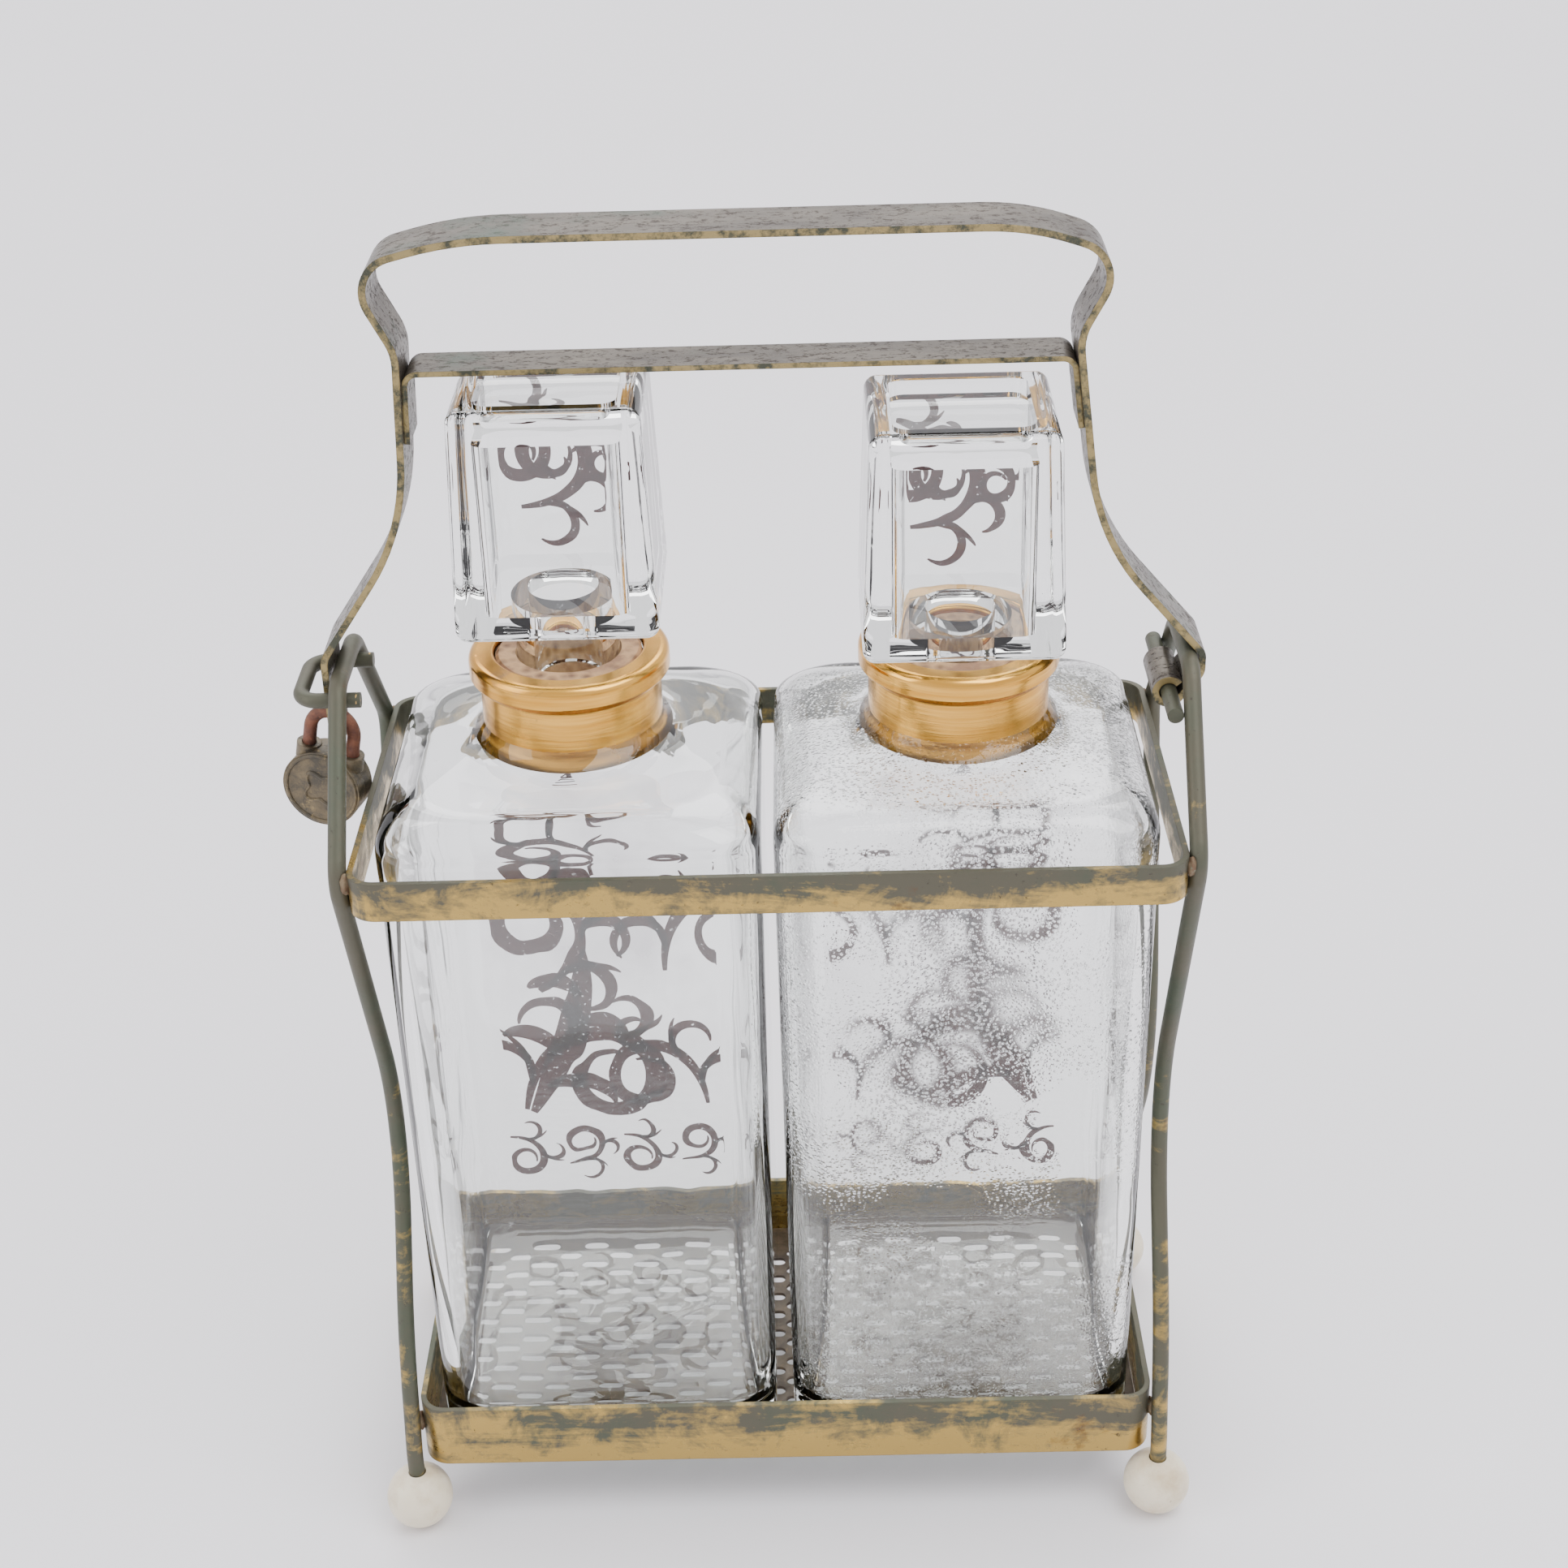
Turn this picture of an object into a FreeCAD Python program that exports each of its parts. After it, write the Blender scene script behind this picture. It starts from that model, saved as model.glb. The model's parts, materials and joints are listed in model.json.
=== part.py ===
import FreeCAD, Part
import math
import os
import Sketcher
from FreeCAD import Placement, Rotation, Vector

# A tantalus: two square glass decanters in a brass-plated wire stand, held down by a lock bar on a
# carrying handle that is hinged on the right and padlocked on the left.
# Millimetres, +Z up, floor at Z = 0, front towards -Y.

SIZES = {
    # whole model: the frame's middle plane is moved along X so that the origin is under the box's centre
    "mid_x": 6.32,
    # upper ring
    "ring_width": 200.0, "ring_depth": 97.0, "ring_height": 10.2, "ring_top": 204.5,
    "band_thickness": 1.5, "band_corner": 7.0,
    # tray
    "tray_width": 197.0, "tray_depth": 96.4, "tray_height": 19.0, "tray_bottom": 19.2,
    "sheet_thickness": 1.0, "slot_length": 7.2, "slot_width": 3.1, "slot_pitch_x": 7.5, "slot_pitch_y": 7.8,
    # side wires and what is welded to them
    "wire_diameter": 4.4, "wire_foot_x": 100.56, "wire_lean": 0.495, "wire_foot_y": 48.7,
    "waist_y": 7.5, "waist_z": 108.0, "weld_y": 43.5, "weld_z": 201.5, "apex_y": 13.0, "apex_z": 239.0,
    "foot_radius": 8.9, "foot_centre_z": 8.6, "foot_bore": 4.8, "foot_bore_bottom": 7.0,
    "staple_diameter": 3.8, "staple_y": 10.9, "staple_z": 234.2, "staple_outer_x": 113.1, "staple_end_x": 97.8,
    "hinge_x": 98.3, "hinge_z": 230.0, "pin_diameter": 4.0, "pin_length": 42.0,
    # carrying handle and lock bar
    "strip_thickness": 1.7, "strip_width": 17.0, "eye_radius": 3.2, "hook_x": 106.0, "tail_x": 106.2,
    "tail_bottom": 217.0, "tail_slot": 5.2, "tail_slot_top": 233.0,
    "grip_z": 346.3, "bar_thickness": 1.3, "bar_width": 13.0, "bar_z": 314.85, "tab_bottom": 298.0,
    # decanters
    "bottle_x": 47.65, "bottle_bottom": 20.3, "bottle_width": 92.5, "bottle_depth": 91.6, "bottle_height": 188.0,
    "bottle_corner": 12.0, "bottle_round": 10.5, "glass_wall": 4.2, "glass_base": 9.0,
    "shoulder_radius": 40.0, "neck_radius": 20.4, "neck_bore": 18.2, "neck_bottom": 218.5, "neck_top": 240.2,
    "collar_radius": 22.2, "collar_flare": 23.4, "collar_lip": 24.6, "collar_bottom": 218.9,
    "collar_step": 236.2, "collar_top": 242.4,
    "cork_radius": 17.9, "cork_bore": 13.0, "cork_bottom": 227.0, "cork_top": 241.4,
    # stoppers
    "stopper_bottom": 246.2, "stopper_height": 56.4, "stopper_foot": 48.2, "stopper_head": 44.0,
    "stopper_corner": 4.0, "stopper_round": 3.2, "stopper_wall": 5.0, "recess_width": 33.0, "recess_depth": 4.0,
    "shank_radius": 12.6, "shank_bore": 8.5, "shank_length": 20.0, "stopper_raise": 8.0,
    # padlock, in its own frame: origin at the centre of the shackle's arch
    "lock_x": -108.2, "lock_y": 0.54, "lock_z": 219.6, "lock_tilt": 12.0, "lock_yaw": -15.0,
    "shackle_diameter": 3.4, "shackle_spread": 5.8, "long_leg": 17.0, "short_leg": 11.0,
    "case_radius": 10.3, "case_thickness": 8.0, "case_drop": 15.0, "boss_radius": 3.1, "boss_top": -4.8,
    "cavity_width": 15.2, "cavity_height": 9.5, "cavity_depth": 4.6,
}

doc = FreeCAD.newDocument("tantalus")
sheet = doc.addObject("Spreadsheet::Sheet", "Sizes")
for row, (name, value) in enumerate(SIZES.items(), start=1):
    sheet.set(f"A{row}", name)
    sheet.set(f"B{row}", str(value))
    sheet.setAlias(f"B{row}", name)
doc.recompute()


def size(name):
    return float(sheet.get(name))


def flat(x, y):
    return Vector(x, y, 0)


# ---- outlines: straight runs and tangent arcs ----

def on_circle(centre, radius, angle):
    return centre + flat(math.cos(angle), math.sin(angle)) * radius


def bend(points, radii):
    """Straight runs between the points, with a tangent arc of the given radius at each inner point."""
    runs = []
    start = points[0]
    for before, corner, after, radius in zip(points, points[1:], points[2:], radii):
        into = (corner - before).normalize()
        out = (after - corner).normalize()
        turn = into.getAngle(out)
        side = 1 if into.cross(out).z > 0 else -1
        first = corner - into * radius * math.tan(turn / 2)
        towards = flat(-into.y, into.x) * side
        centre = first + towards * radius
        begin = math.atan2(-towards.y, -towards.x)
        runs.append(("run", start, first))
        runs.append(("arc", centre, radius, begin, begin + side * turn))
        start = on_circle(centre, radius, begin + side * turn)
    runs.append(("run", start, points[-1]))
    return runs


def shifted(runs, left):
    """The same path moved sideways, to the left where left is positive."""
    moved = []
    for run in runs:
        if run[0] == "run":
            along = (run[2] - run[1]).normalize()
            aside = flat(-along.y, along.x) * left
            moved.append(("run", run[1] + aside, run[2] + aside))
        else:
            kind, centre, radius, begin, end = run
            moved.append((kind, centre, radius - left * math.copysign(1, end - begin), begin, end))
    return moved


def ends(run):
    if run[0] == "run":
        return run[1], run[2]
    return on_circle(*run[1:4]), on_circle(run[1], run[2], run[4])


def curves(runs):
    """FreeCAD curves for a path."""
    result = []
    for run in runs:
        if run[0] == "run":
            result.append(Part.LineSegment(run[1], run[2]))
        else:
            kind, centre, radius, begin, end = run
            middle = on_circle(centre, radius, (begin + end) / 2)
            result.append(Part.Arc(on_circle(centre, radius, begin), middle, on_circle(centre, radius, end)))
    return result


def strip_outline(runs, thickness):
    """The closed edge view of a strip bent along a path."""
    left = shifted(runs, thickness / 2)
    right = shifted(runs, -thickness / 2)
    caps = [Part.LineSegment(ends(left[0])[0], ends(right[0])[0]),
            Part.LineSegment(ends(left[-1])[1], ends(right[-1])[1])]
    return curves(left) + curves(right) + caps


def rounded_rectangle(width, depth, corner, centre=(0, 0)):
    x, y = width / 2, depth / 2
    middle = flat(*centre)
    points = [flat(0, -y), flat(x, -y), flat(x, y), flat(-x, y), flat(-x, -y), flat(0, -y)]
    return curves(bend([middle + point for point in points], [corner] * 4))


def polygon(points):
    return [Part.LineSegment(flat(*a), flat(*b)) for a, b in zip(points, points[1:] + points[:1])]


def square(width):
    half = width / 2
    return polygon([(-half, -half), (half, -half), (half, half), (-half, half)])


# ---- document objects ----

def new_body(label):
    body = doc.addObject("PartDesign::Body", label)
    body.Label = label
    body.setExpression("Placement.Base.x", "Sizes.mid_x")
    return body


def place(body, x="0", y="0", z="0"):
    body.setExpression("Placement.Base.x", f"Sizes.mid_x + ({x})")
    body.setExpression("Placement.Base.y", y)
    body.setExpression("Placement.Base.z", z)


def sketch_on(body, role, lines, height=None):
    """A sketch on one of the body's origin planes, moved off it by an expression where height is given."""
    drawing = body.newObject("Sketcher::SketchObject", body.Label + "_sketch")
    plane = next(feature for feature in body.Origin.OriginFeatures if feature.Role == role)
    drawing.AttachmentSupport = [(plane, "")]
    drawing.MapMode = "FlatFace"
    drawing.addGeometry(lines, False)
    if height is not None:
        drawing.setExpression("AttachmentOffset.Base.z", height)
    return drawing


def pad(body, drawing, length, both_ways=False):
    feature = body.newObject("PartDesign::Pad", body.Label + "_pad")
    feature.Profile = drawing
    feature.setExpression("Length", length)
    if both_ways:
        feature.Midplane = True
    return feature


def pocket(body, drawing, length, upwards=False, both_ways=False):
    feature = body.newObject("PartDesign::Pocket", body.Label + "_pocket")
    feature.Profile = drawing
    feature.setExpression("Length", length)
    feature.Reversed = upwards
    if both_ways:
        feature.Midplane = True
    return feature


def turned(body, lines, kind="PartDesign::Revolution"):
    """A solid of revolution, or a cut one, about the body's Z axis from an outline in (radius, height)."""
    drawing = sketch_on(body, "XZ_Plane", lines)
    feature = body.newObject(kind, body.Label + "_turned")
    feature.Profile = drawing
    feature.ReferenceAxis = (drawing, ["V_Axis"])
    feature.Angle = 360
    return feature


def rod(label, path_role, runs, path_height, end_role, end_height, end_centre, diameter):
    """A round bar along a flat path, with its cross-section drawn where the path starts."""
    body = new_body(label)
    path = sketch_on(body, path_role, curves(runs), path_height)
    section = sketch_on(body, end_role, [Part.Circle(flat(*end_centre), Vector(0, 0, 1), size(diameter) / 2)],
                        end_height)
    section.addConstraint(Sketcher.Constraint("Diameter", 0, size(diameter)))
    section.setExpression("Constraints[0]", f"Sizes.{diameter}")
    sweep = body.newObject("PartDesign::AdditivePipe", label + "_pipe")
    sweep.Profile = section
    sweep.Spine = path
    return body




def bent_strip(label, runs, thickness, width):
    body = new_body(label)
    drawing = sketch_on(body, "XZ_Plane", strip_outline(runs, size(thickness)))
    pad(body, drawing, f"Sizes.{width}", both_ways=True)
    return body


def soften(body, base, wanted, radius):
    """Rounds the edges of the base feature that wanted() picks."""
    doc.recompute()
    names = [f"Edge{n}" for n, edge in enumerate(base.Shape.Edges, start=1) if wanted(edge)]
    feature = body.newObject("PartDesign::Fillet", body.Label + "_rounding")
    feature.Base = (base, names)
    feature.setExpression("Radius", radius)
    return feature


def level_at(height):
    """Picks the edges that lie flat at a height."""
    def wanted(edge):
        box = edge.BoundBox
        return abs(box.ZMin - height) < 0.01 and abs(box.ZMax - height) < 0.01
    return wanted


nodes = []

# ---- the stand ----

wall = size("band_thickness")
for label, key in (("upper_ring", "ring"), ("tray_band", "tray")):
    width, depth = size(key + "_width"), size(key + "_depth")
    body = new_body(label)
    outline = (rounded_rectangle(width, depth, size("band_corner"))
               + rounded_rectangle(width - 2 * wall, depth - 2 * wall, size("band_corner") - wall))
    pad(body, sketch_on(body, "XY_Plane", outline), f"Sizes.{key}_height")
    bottom = "Sizes.ring_top - Sizes.ring_height" if key == "ring" else "Sizes.tray_bottom"
    place(body, z=bottom)
    nodes.append(body)


def slot(x, y, length, width):
    """A round-ended slot that runs along X."""
    half, end = width / 2, length / 2 - width / 2
    return curves([("run", flat(x - end, y - half), flat(x + end, y - half)),
                   ("arc", flat(x + end, y), half, -math.pi / 2, math.pi / 2),
                   ("run", flat(x + end, y + half), flat(x - end, y + half)),
                   ("arc", flat(x - end, y), half, math.pi / 2, 3 * math.pi / 2)])


# perforated floor: columns of slots, each column half a pitch out of step with the next
sheet_gap = 0.15
floor_width = size("tray_width") - 2 * (wall + sheet_gap)
floor_depth = size("tray_depth") - 2 * (wall + sheet_gap)
lines = rounded_rectangle(floor_width, floor_depth, size("band_corner") - wall - sheet_gap)
columns = int((floor_width - 8) / size("slot_pitch_x"))
rows = int((floor_depth - 8) / size("slot_pitch_y"))
for column in range(columns):
    x = (column - (columns - 1) / 2) * size("slot_pitch_x")
    odd = column % 2
    for line in range(rows - odd):
        y = (line - (rows - 1 - odd) / 2) * size("slot_pitch_y")
        lines += slot(x, y, size("slot_length"), size("slot_width"))
grid = new_body("tray_grid")
pad(grid, sketch_on(grid, "XY_Plane", lines), "Sizes.sheet_thickness")
place(grid, z="Sizes.tray_bottom")
nodes.append(grid)

# side wires: each one an upside-down U from foot to foot, drawn in at the waist
half_path = [(size("wire_foot_y"), size("foot_bore_bottom") + 0.3), (size("wire_foot_y"), 22.0), (39.0, 56.0),
             (size("waist_y"), size("waist_z")), (size("weld_y"), size("weld_z")),
             (size("apex_y"), size("apex_z"))]
half_radii = [24.0, 110.0, 60.0, 9.0, 7.0]
path = [flat(-y, z) for y, z in half_path] + [flat(y, z) for y, z in reversed(half_path)]
wire_runs = bend(path, half_radii + half_radii[::-1])
for label, side in (("left_wire_frame", -1), ("right_wire_frame", 1)):
    wire = rod(label, "YZ_Plane", wire_runs, None, "XY_Plane", str(half_path[0][1]),
               (0, -half_path[0][0]), "wire_diameter")
    place(wire, x=f"{side} * Sizes.wire_foot_x")
    wire.Placement = Placement(wire.Placement.Base, Rotation(Vector(0, 1, 0), side * size("wire_lean")))
    nodes.append(wire)

# ball feet, pressed on the wires' ends, with a small flat to stand on
radius, centre_z = size("foot_radius"), size("foot_centre_z")
bore = size("foot_bore") / 2
flat_radius = math.sqrt(radius ** 2 - centre_z ** 2)
mouth = math.asin(math.sqrt(radius ** 2 - bore ** 2) / radius)
ball = [("run", flat(0, size("foot_bore_bottom")), flat(bore, size("foot_bore_bottom"))),
        ("run", flat(bore, size("foot_bore_bottom")), flat(bore, centre_z + radius * math.sin(mouth))),
        ("arc", flat(0, centre_z), radius, mouth, -math.asin(centre_z / radius)),
        ("run", flat(flat_radius, 0), flat(0, 0)),
        ("run", flat(0, 0), flat(0, size("foot_bore_bottom")))]
for end, y_side in (("front", -1), ("back", 1)):
    for hand, x_side in (("left", -1), ("right", 1)):
        foot = new_body(f"foot_{end}_{hand}")
        turned(foot, curves(ball))
        place(foot, x=f"{x_side} * (Sizes.wire_foot_x + 0.1)", y=f"{y_side} * Sizes.wire_foot_y")
        nodes.append(foot)

# staple that the handle's tail drops through: a lying U on the inside of the left wire
arm, reach = size("staple_y"), size("staple_outer_x")
staple_runs = bend([flat(-size("staple_end_x"), -arm), flat(-reach, -arm), flat(-reach, arm),
                    flat(-size("staple_end_x"), arm)], [5.0, 5.0])
nodes.append(rod("lock_staple", "XY_Plane", staple_runs, "Sizes.staple_z", "YZ_Plane", "-Sizes.staple_end_x",
                 (-arm, size("staple_z")), "staple_diameter"))

# hinge pin across the inside of the right wire
pin = new_body("hinge_pin")
pin_circle = [Part.Circle(flat(0, 0), Vector(0, 0, 1), size("pin_diameter") / 2)]
pad(pin, sketch_on(pin, "XZ_Plane", pin_circle), "Sizes.pin_length", both_ways=True)
place(pin, x="Sizes.hinge_x", z="Sizes.hinge_z")
nodes.append(pin)

# ---- the carrying handle: one strip from the tail, over the grip, to the rolled hinge eye ----


def left_upright(z):
    return -81.2 - (318.0 - z) * 0.05


def right_upright(z):
    return 74.2 + (318.0 - z) * 0.1212


eye = flat(size("hinge_x"), size("hinge_z"))
hook_low = flat(size("hook_x"), 235.0)
hook_top = flat(size("hook_x"), 240.15)
away = hook_low - eye
tangent = math.atan2(away.y, away.x) - math.acos(size("eye_radius") / away.Length)
eye_opening = math.radians(40 - 360)
handle_points = [flat(-size("tail_x"), size("tail_bottom")), flat(-size("tail_x"), 243.7),
                 flat(left_upright(277.3), 277.3), flat(left_upright(320.5), 320.5), flat(-90.8, 340.0),
                 flat(-66.0, size("grip_z")), flat(62.0, size("grip_z")), flat(83.8, 338.8),
                 flat(right_upright(320.5), 320.5), flat(right_upright(270.6), 270.6),
                 hook_top, hook_low, on_circle(eye, size("eye_radius"), tangent)]
handle_radii = [6.0, 60.0, 12.0, 8.5, 88.0, 60.0, 8.5, 12.0, 57.0, 3.0, 4.0]
handle_runs = bend(handle_points, handle_radii)
handle_runs.append(("arc", eye, size("eye_radius"), tangent, eye_opening))
handle = bent_strip("carry_handle", handle_runs, "strip_thickness", "strip_width")
slot_half, slot_top = size("tail_slot") / 2, size("tail_slot_top")
slot_low = size("tail_bottom") - 2
tail_cut = curves([("run", flat(-slot_half, slot_top - slot_half), flat(-slot_half, slot_low)),
                   ("run", flat(-slot_half, slot_low), flat(slot_half, slot_low)),
                   ("run", flat(slot_half, slot_low), flat(slot_half, slot_top - slot_half)),
                   ("arc", flat(0, slot_top - slot_half), slot_half, 0, math.pi)])
pocket(handle, sketch_on(handle, "YZ_Plane", tail_cut, "-Sizes.tail_x"), "4 * Sizes.strip_thickness",
       both_ways=True)
nodes.append(handle)

# lock bar: runs over both stoppers, its ends bent down and welded inside the uprights
tab_gap = (size("strip_thickness") + size("bar_thickness")) / 2 + 0.05
low, high = size("tab_bottom"), size("bar_z")
bar_runs = bend([flat(left_upright(low) + tab_gap, low), flat(left_upright(high) + tab_gap, high),
                 flat(right_upright(high) - tab_gap, high), flat(right_upright(low) - tab_gap, low)], [3.0, 3.0])
nodes.append(bent_strip("lock_bar", bar_runs, "bar_thickness", "bar_width"))

# ---- decanters with their collars, cork rings and stoppers ----


def make_decanter(hand, side):
    body = new_body(f"decanter_{hand}")
    width, depth, wall = size("bottle_width"), size("bottle_depth"), size("glass_wall")
    corner = size("bottle_corner")
    block = pad(body, sketch_on(body, "XY_Plane", rounded_rectangle(width, depth, corner),
                                "Sizes.bottle_bottom"), "Sizes.bottle_height")
    top = size("bottle_bottom") + size("bottle_height")
    rounded = soften(body, block, level_at(top), "Sizes.bottle_round")
    soften(body, rounded, level_at(size("bottle_bottom")), "2.5")
    turned(body, polygon([(0, top - 3), (size("shoulder_radius") + 2, top - 3), (size("shoulder_radius"), top),
                          (size("neck_radius") + 3.5, size("neck_bottom") - 2.6),
                          (size("neck_radius"), size("neck_bottom")), (size("neck_radius"), size("neck_top")),
                          (0, size("neck_top"))]))
    inside = rounded_rectangle(width - 2 * wall, depth - 2 * wall, corner - wall)
    pocket(body, sketch_on(body, "XY_Plane", inside, "Sizes.bottle_bottom + Sizes.glass_base"),
           "Sizes.bottle_height - Sizes.glass_base - 1.6 * Sizes.glass_wall", upwards=True)
    under = top - 1.6 * wall - 1
    turned(body, polygon([(0, under), (size("shoulder_radius") - wall, under),
                          (size("shoulder_radius") - wall, top - 1.2 * wall),
                          (size("neck_bore"), size("neck_bottom") - 1.5 * wall),
                          (size("neck_bore"), size("neck_top") + 5), (0, size("neck_top") + 5)]),
           "PartDesign::Groove")
    place(body, x=f"{side} * Sizes.bottle_x")
    nodes.append(body)


def make_collar(hand, side):
    body = new_body(f"neck_collar_{hand}")
    gap = 0.15
    inner = size("neck_radius") + gap
    bore = size("neck_bore") + gap
    outer, lip = size("collar_radius"), size("collar_lip")
    bottom, step, top = size("collar_bottom"), size("collar_step"), size("collar_top")
    outline = [flat(bore, size("neck_top") + gap), flat(inner, size("neck_top") + gap), flat(inner, bottom),
               flat(size("collar_flare"), bottom), flat(outer, bottom + 4.5), flat(outer, step - 1.5),
               flat(outer + 1.3, step), flat(lip, step + 0.6), flat(lip, top), flat(bore, top),
               flat(bore, size("neck_top") + gap)]
    turned(body, curves(bend(outline, [0.1, 0.1, 0.2, 4.0, 1.0, 0.5, 0.5, 2.2, 0.8])))
    place(body, x=f"{side} * Sizes.bottle_x")
    nodes.append(body)


def make_cork(hand, side):
    body = new_body(f"cork_ring_{hand}")
    low, top = size("cork_bottom"), size("cork_top")
    turned(body, polygon([(size("cork_bore"), low), (size("cork_radius") - 0.4, low), (size("cork_radius"), top - 0.8),
                          (size("cork_radius") - 0.8, top), (size("cork_bore"), top)]))
    place(body, x=f"{side} * Sizes.bottle_x")
    nodes.append(body)


def make_stopper(hand, side, rise):
    body = new_body(f"stopper_{hand}")
    low = size("stopper_bottom")
    foot, head, corner = size("stopper_foot"), size("stopper_head"), size("stopper_corner")
    block = pad(body, sketch_on(body, "XY_Plane", square(foot), "Sizes.stopper_bottom"), "Sizes.stopper_height")
    block.setExpression("TaperAngle",
                        "-atan((Sizes.stopper_foot - Sizes.stopper_head) / (2 * Sizes.stopper_height))")
    soften(body, block, lambda edge: True, "Sizes.stopper_round")
    hollow = head - 2 * size("stopper_wall")
    pocket(body, sketch_on(body, "XY_Plane", rounded_rectangle(hollow, hollow, corner),
                           "Sizes.stopper_bottom + Sizes.stopper_wall"),
           "Sizes.stopper_height - Sizes.recess_depth - 2 * Sizes.stopper_wall", upwards=True)
    recess = size("recess_width")
    pocket(body, sketch_on(body, "XY_Plane", rounded_rectangle(recess, recess, corner),
                           "Sizes.stopper_bottom + Sizes.stopper_height"), "Sizes.recess_depth")
    tip = low - size("shank_length")
    shank = size("shank_radius")
    turned(body, polygon([(0, low + 1), (shank, low + 1), (shank, tip + 1), (shank - 1, tip), (0, tip)]))
    bore = size("shank_bore")
    turned(body, polygon([(0, tip - 1), (bore, tip - 1), (bore, low + size("stopper_wall") + 1),
                          (0, low + size("stopper_wall") + 1)]), "PartDesign::Groove")
    place(body, x=f"{side} * Sizes.bottle_x", z=rise)
    nodes.append(body)


for hand, side, rise in (("left", -1, "Sizes.stopper_raise"), ("right", 1, "0")):
    make_decanter(hand, side)
    make_collar(hand, side)
    make_cork(hand, side)
    make_stopper(hand, side, rise)

# ---- the padlock ----

lock_turn = Rotation(Vector(0, 0, 1), size("lock_yaw")).multiply(Rotation(Vector(0, 1, 0), size("lock_tilt")))
lock_place = Placement(Vector(size("mid_x") + size("lock_x"), size("lock_y"), size("lock_z")), lock_turn)

spread = size("shackle_spread")
shackle_runs = [("run", flat(-spread, -size("long_leg")), flat(-spread, 0)),
                ("arc", flat(0, 0), spread, math.pi, 0),
                ("run", flat(spread, 0), flat(spread, -size("short_leg")))]
shackle = rod("padlock_shackle", "XZ_Plane", shackle_runs, None, "XY_Plane", "-Sizes.long_leg",
              (-spread, 0), "shackle_diameter")


def cylinder(name, radius, height, base, direction):
    drum = doc.addObject("Part::Cylinder", name)
    drum.setExpression("Radius", radius)
    drum.setExpression("Height", height)
    drum.Placement = Placement(base, Rotation(Vector(0, 0, 1), direction))
    return drum


def block_of(name, width, depth, height, centre):
    block = doc.addObject("Part::Box", name)
    block.Length, block.Width, block.Height = width, depth, height
    block.Placement.Base = centre - Vector(width / 2, depth / 2, height / 2)
    return block


def group(kind, name, shapes):
    joined = doc.addObject(kind, name)
    joined.Shapes = shapes
    return joined


def case_half(label, side):
    """Half of the round case with half of both bosses, open inside for the legs, catch and spring."""
    middle = Vector(0, 0, -size("case_drop"))
    half = size("case_thickness") / 2
    disc = cylinder(label + "_disc", "Sizes.case_radius", "Sizes.case_thickness / 2",
                    middle + Vector(0, side * 0.03, 0), Vector(0, side, 0))
    bosses = [cylinder(f"{label}_boss_{n}", "Sizes.boss_radius", "4",
                       Vector(x, 0, size("boss_top") - 4), Vector(0, 0, 1))
              for n, x in enumerate((-spread, spread))]
    front = block_of(label + "_side", 40, half, 40, Vector(0, side * (half / 2 + 0.03), -15))
    half_bosses = doc.addObject("Part::Common", label + "_half_bosses")
    half_bosses.Base = group("Part::MultiFuse", label + "_bosses", bosses)
    half_bosses.Tool = front
    solid = group("Part::MultiFuse", label + "_solid", [disc, half_bosses])
    cavity = block_of(label + "_cavity", size("cavity_width"), size("cavity_depth"), size("cavity_height"),
                      Vector(0, 0, -size("case_drop") + 0.8))
    wells = [cylinder(f"{label}_well_{n}", "Sizes.shackle_diameter / 2 + 0.15", f"{depth}",
                      Vector(x, 0, size("boss_top") + 0.5 - depth), Vector(0, 0, 1))
             for n, (x, depth) in enumerate(((-spread, 14.0), (spread, 8.0)))]
    case = doc.addObject("Part::Cut", label)
    case.Label = label
    case.Base = solid
    case.Tool = group("Part::MultiFuse", label + "_hollow", [cavity] + wells)
    return case


case_front = case_half("padlock_case_front", -1)
case_back = case_half("padlock_case_back", 1)

catch = block_of("padlock_catch", 5.6, 2.4, 1.8, Vector(0.6, 0, -size("case_drop") + 3.4))
catch.Label = "padlock_catch"
spring = doc.addObject("Part::Cut", "padlock_spring")
spring.Label = "padlock_spring"
spring.Base = block_of("spring_blank", 6.4, 2.0, 3.6, Vector(0.4, 0, -size("case_drop") + 0.2))
spring.Tool = block_of("spring_gap", 6.4, 3.0, 2.8, Vector(1.0, 0, -size("case_drop") + 0.2))

for piece in (shackle, case_front, case_back, catch, spring):
    nodes.append(piece)
doc.recompute()
shackle.setExpression("Placement.Base.x", None)
for piece in (shackle, case_front, case_back, spring):
    piece.Placement = lock_place
catch.Placement = lock_place.multiply(catch.Placement)

# ---- check and write ----

doc.recompute()
for item in doc.Objects:
    if "Invalid" in item.State or "Error" in item.State:
        raise RuntimeError(f"{item.Label} did not rebuild: {item.State}")
os.makedirs("parts", exist_ok=True)
whole = FreeCAD.BoundBox()
for node in nodes:
    shape = node.Shape
    if shape.isNull() or not shape.isValid() or not shape.Solids:
        raise RuntimeError(f"{node.Label} has no valid solid")
    shape.exportStep(f"parts/{node.Label}.step")
    whole.add(shape.BoundBox)
    print(f"{node.Label}: {len(shape.Solids)} solid, {shape.Volume:.0f} mm3")
print(f"{len(nodes)} nodes, X {whole.XMin:.2f} {whole.XMax:.2f}, Y {whole.YMin:.2f} {whole.YMax:.2f}, "
      f"Z {whole.ZMin:.2f} {whole.ZMax:.2f}")
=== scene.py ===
import json
import math
import bmesh
import bpy
from mathutils import Matrix, Vector, noise


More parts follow.
